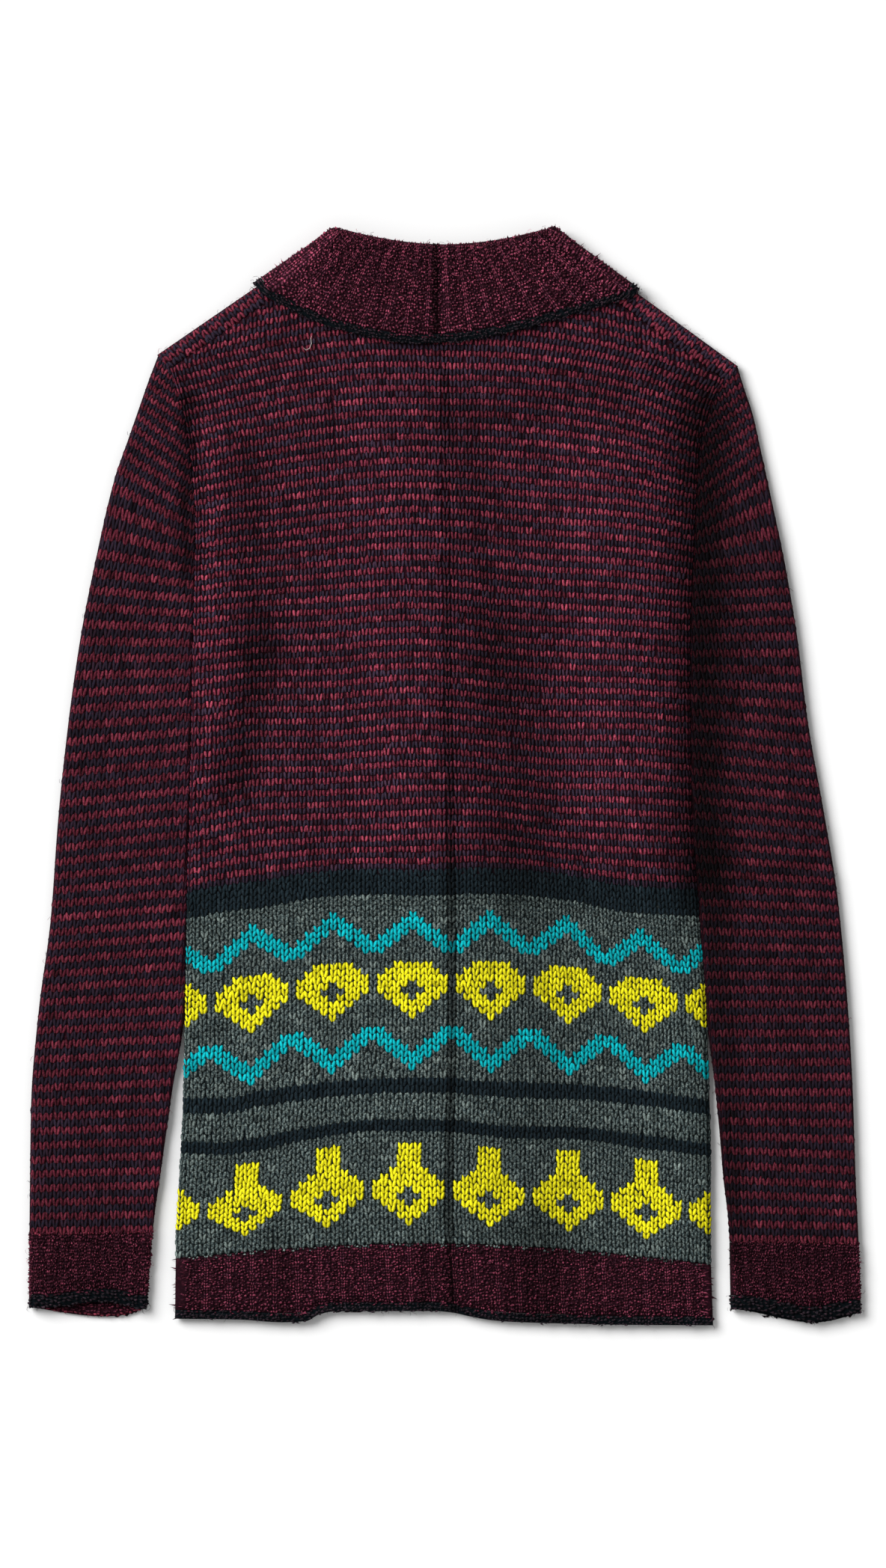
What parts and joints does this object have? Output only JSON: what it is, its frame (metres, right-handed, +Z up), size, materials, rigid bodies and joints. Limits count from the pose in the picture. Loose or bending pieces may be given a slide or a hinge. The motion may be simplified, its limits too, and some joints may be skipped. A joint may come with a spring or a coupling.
{
  "type": "fair isle cardigan",
  "caption": "Knitted cardigan with a shawl collar, fair isle bands and ribbed edges, laid out flat and face down with its back up.",
  "frame": {"origin": "on the surface it lies on, under the middle of its bounding box", "axes": "+X to the right of someone who looks down on the back, +Y towards the collar, +Z up out of the surface"},
  "size_m": [0.557, 0.7365, 0.0189],
  "materials": {
    "fair_isle_knit": "wool knit in burgundy and navy stripes, with bands of grey, teal and yellow",
    "marl_rib": "ribbed wool knit, burgundy and black twisted together",
    "black_edging": "fuzzy black wool knit"
  },
  "bodies": {
    "root": {"back": "fair_isle_knit", "back_hem_rib": "marl_rib", "back_hem_edge": "black_edging", "front_left": "fair_isle_knit", "front_left_hem_rib": "marl_rib", "front_left_hem_edge": "black_edging", "front_right": "fair_isle_knit", "front_right_hem_rib": "marl_rib", "front_right_hem_edge": "black_edging", "sleeve_left": "fair_isle_knit", "cuff_left": "marl_rib", "cuff_left_edge": "black_edging", "sleeve_right": "fair_isle_knit", "cuff_right": "marl_rib", "cuff_right_edge": "black_edging", "collar": "marl_rib", "collar_edge": "black_edging"}
  },
  "joints": []
}
